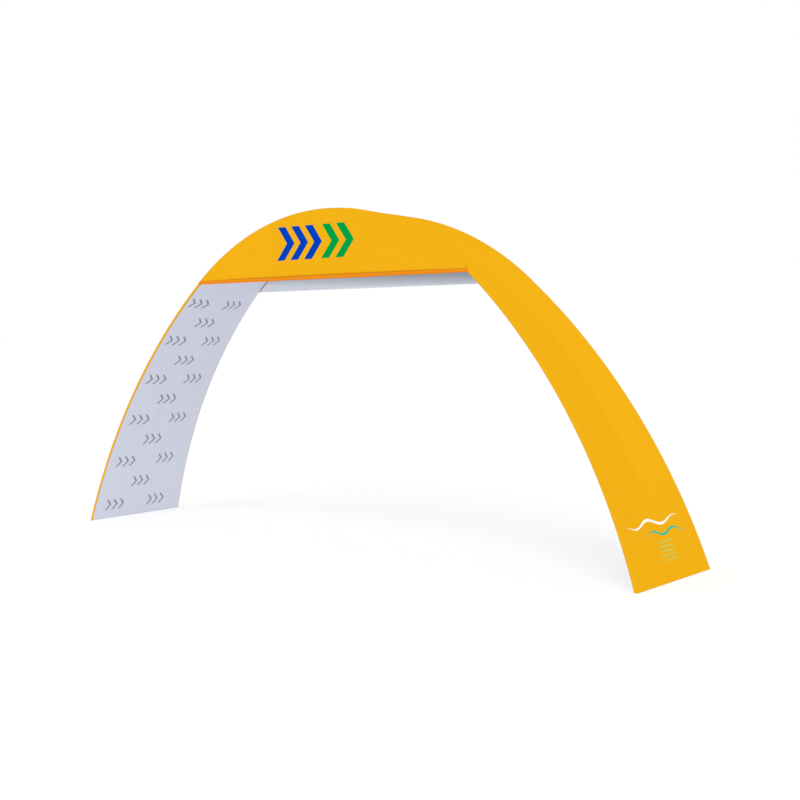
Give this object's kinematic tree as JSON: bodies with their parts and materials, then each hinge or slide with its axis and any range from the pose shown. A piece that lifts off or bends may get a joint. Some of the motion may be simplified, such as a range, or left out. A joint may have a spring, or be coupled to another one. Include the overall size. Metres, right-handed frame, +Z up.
{
  "type": "fabric arch display stand with tube frame",
  "caption": "Free-standing arch of stretched cloth over bent aluminium tubes, with a flat header panel in front and behind and an open passage between its legs.",
  "frame": {"origin": "on the ground, in the middle between the feet", "axes": "+Z up, +X along the span to the right-hand leg, +Y through the passage from the front face to the back face"},
  "size_m": [6.4816, 1.146, 3],
  "materials": {
    "frame": "satin",
    "yellow_cloth": "matte",
    "grey_cloth": "matte",
    "orange_cloth": "matte"
  },
  "bodies": {
    "root": {"front_crown_tube": "frame", "front_left_leg_tube": "frame", "front_right_leg_tube": "frame", "back_crown_tube": "frame", "back_left_leg_tube": "frame", "back_right_leg_tube": "frame", "left_spreader": "frame", "top_spreader": "frame", "right_spreader": "frame", "left_foot_bar": "frame", "right_foot_bar": "frame", "header_rod": "frame", "outer_skin": "yellow_cloth", "inner_skin": "grey_cloth", "front_header": "yellow_cloth", "back_header": "yellow_cloth", "rod_pocket": "orange_cloth"}
  },
  "joints": []
}
